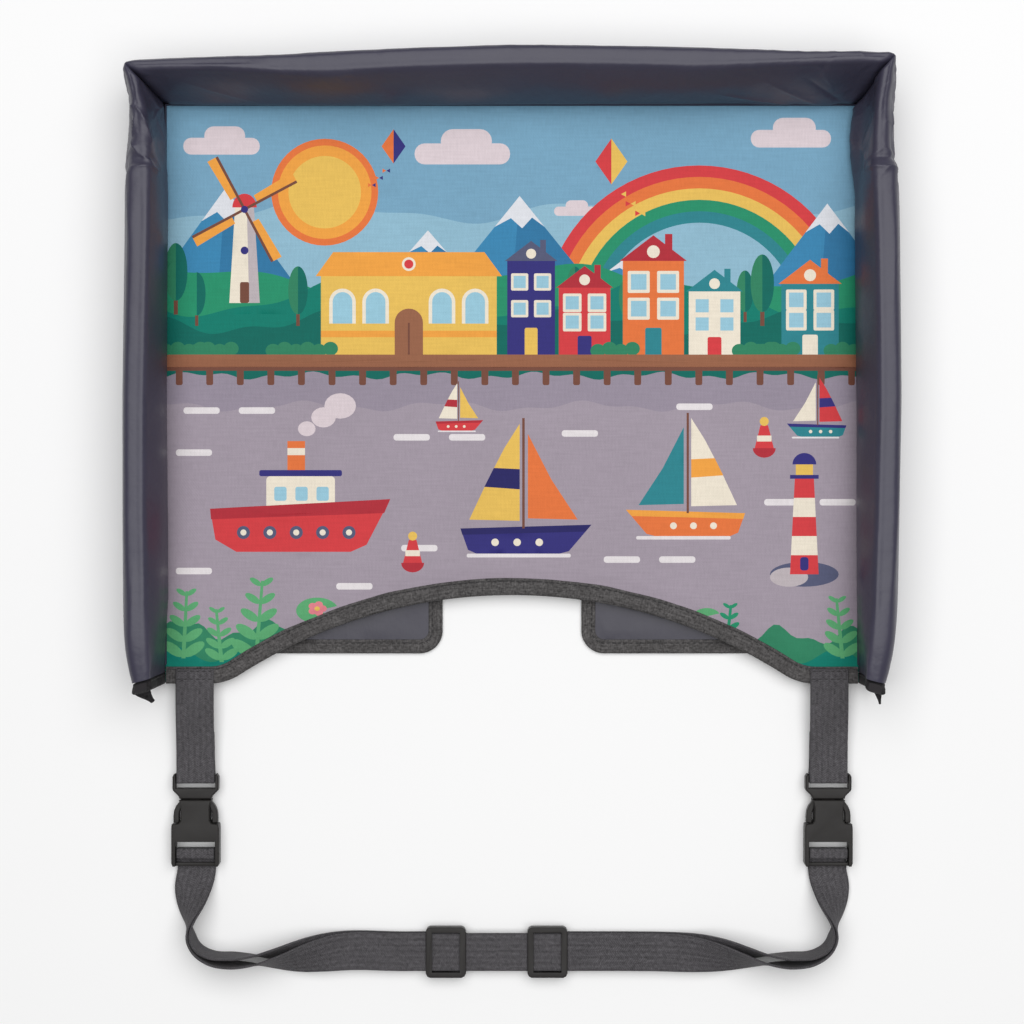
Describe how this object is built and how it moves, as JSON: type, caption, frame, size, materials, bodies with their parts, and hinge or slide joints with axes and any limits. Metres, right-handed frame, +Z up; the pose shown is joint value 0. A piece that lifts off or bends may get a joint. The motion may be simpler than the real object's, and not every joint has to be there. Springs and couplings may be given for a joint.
{
  "type": "kids travel tray",
  "caption": "Padded child's travel lap tray with soft folding walls, a curved front edge, hanging flaps and a waist belt with side-release buckles and sliders.",
  "frame": {"origin": "middle of the flat underside that rests on the lap", "axes": "+Y from the child towards the back wall, +X to the right seen from above with the belt below, +Z up"},
  "size_m": [0.395, 0.4816, 0.0484],
  "materials": {
    "printed_cloth": null,
    "wall_cloth": "slate purple nylon with a soft sheen",
    "underside_cloth": "plain dark woven polyester",
    "binding_tape": "ribbed charcoal tape",
    "webbing": "charcoal flat webbing",
    "buckle_plastic": "moulded acetal, fine matte",
    "foam": "closed-cell foam",
    "board": "plain stiffener sheet"
  },
  "bodies": {
    "tray": {"top_panel": "printed_cloth", "base_board": "board", "lap_foam": "foam", "bottom_panel": "underside_cloth", "front_binding": "binding_tape", "left_strap_anchor": "webbing", "right_strap_anchor": "webbing", "left_corner_gusset": "wall_cloth", "right_corner_gusset": "wall_cloth"},
    "back_wall": {"back_wall_cover": "wall_cloth", "back_wall_core": "foam"},
    "left_wall": {"left_wall_cover": "wall_cloth", "left_wall_core": "foam", "left_wall_end_tape": "binding_tape"},
    "right_wall": {"right_wall_cover": "wall_cloth", "right_wall_core": "foam", "right_wall_end_tape": "binding_tape"},
    "left_flap": {"left_flap_panel": "wall_cloth", "left_flap_binding": "binding_tape"},
    "right_flap": {"right_flap_panel": "wall_cloth", "right_flap_binding": "binding_tape"},
    "straps": {"left_front_strap": "webbing", "right_front_strap": "webbing", "left_buckle_male": "buckle_plastic", "right_buckle_male": "buckle_plastic"},
    "left_outer_prong": {"left_buckle_prong_outer": "buckle_plastic"},
    "left_inner_prong": {"left_buckle_prong_inner": "buckle_plastic"},
    "right_outer_prong": {"right_buckle_prong_outer": "buckle_plastic"},
    "right_inner_prong": {"right_buckle_prong_inner": "buckle_plastic"},
    "belt": {"left_buckle_female": "buckle_plastic", "right_buckle_female": "buckle_plastic", "belt_webbing": "webbing", "left_return_webbing": "webbing", "right_return_webbing": "webbing"},
    "left_slider": {"left_slider": "buckle_plastic"},
    "right_slider": {"right_slider": "buckle_plastic"}
  },
  "joints": [
    {"name": "back_wall_fold", "type": "hinge", "parent": "tray", "child": "back_wall", "pos_m": [0, 0.118, 0.0102], "axis": [1, 0, 0], "range_deg": [0, 80], "deforming": ["left_corner_gusset", "right_corner_gusset"]},
    {"name": "left_wall_fold", "type": "hinge", "parent": "tray", "child": "left_wall", "pos_m": [-0.1815, 0, 0.0102], "axis": [0, 1, 0], "range_deg": [0, 80], "deforming": ["left_corner_gusset"]},
    {"name": "right_wall_fold", "type": "hinge", "parent": "tray", "child": "right_wall", "pos_m": [0.1815, 0, 0.0102], "axis": [0, -1, 0], "range_deg": [0, 80], "deforming": ["right_corner_gusset"]},
    {"name": "left_flap_drop", "type": "hinge", "parent": "tray", "child": "left_flap", "pos_m": [-0.0915, -0.1184, 0.0002], "axis": [1, 0, 0], "range_deg": [0, 90]},
    {"name": "right_flap_drop", "type": "hinge", "parent": "tray", "child": "right_flap", "pos_m": [0.0915, -0.1184, 0.0002], "axis": [1, 0, 0], "range_deg": [0, 90]},
    {"name": "strap_swing", "type": "hinge", "parent": "tray", "child": "straps", "pos_m": [0, -0.1862, 0.00985], "axis": [1, 0, 0], "range_deg": [-60, 90]},
    {"name": "belt_release", "type": "slide", "parent": "straps", "child": "belt", "axis": [0, -1, 0], "range_m": [0, 0.04], "deforming": ["left_buckle_prong_outer", "left_buckle_prong_inner", "right_buckle_prong_outer", "right_buckle_prong_inner"]},
    {"name": "left_outer_prong_squeeze", "type": "hinge", "parent": "straps", "child": "left_outer_prong", "pos_m": [-0.17275, -0.24625, 0.0046], "axis": [0, 0, 1], "range_deg": [0, 5], "stiffness_Nm_per_rad": 1.2},
    {"name": "left_inner_prong_squeeze", "type": "hinge", "parent": "straps", "child": "left_inner_prong", "pos_m": [-0.15925, -0.24625, 0.0046], "axis": [0, 0, -1], "range_deg": [0, 5], "stiffness_Nm_per_rad": 1.2},
    {"name": "right_outer_prong_squeeze", "type": "hinge", "parent": "straps", "child": "right_outer_prong", "pos_m": [0.17275, -0.24625, 0.0046], "axis": [0, 0, -1], "range_deg": [0, 5], "stiffness_Nm_per_rad": 1.2},
    {"name": "right_inner_prong_squeeze", "type": "hinge", "parent": "straps", "child": "right_inner_prong", "pos_m": [0.15925, -0.24625, 0.0046], "axis": [0, 0, 1], "range_deg": [0, 5], "stiffness_Nm_per_rad": 1.2},
    {"name": "left_slider_slide", "type": "slide", "parent": "belt", "child": "left_slider", "axis": [1, 0, 0], "range_m": [-0.02, 0.012], "deforming": ["left_return_webbing"]},
    {"name": "right_slider_slide", "type": "slide", "parent": "belt", "child": "right_slider", "axis": [1, 0, 0], "range_m": [-0.012, 0.02], "deforming": ["right_return_webbing"]}
  ]
}
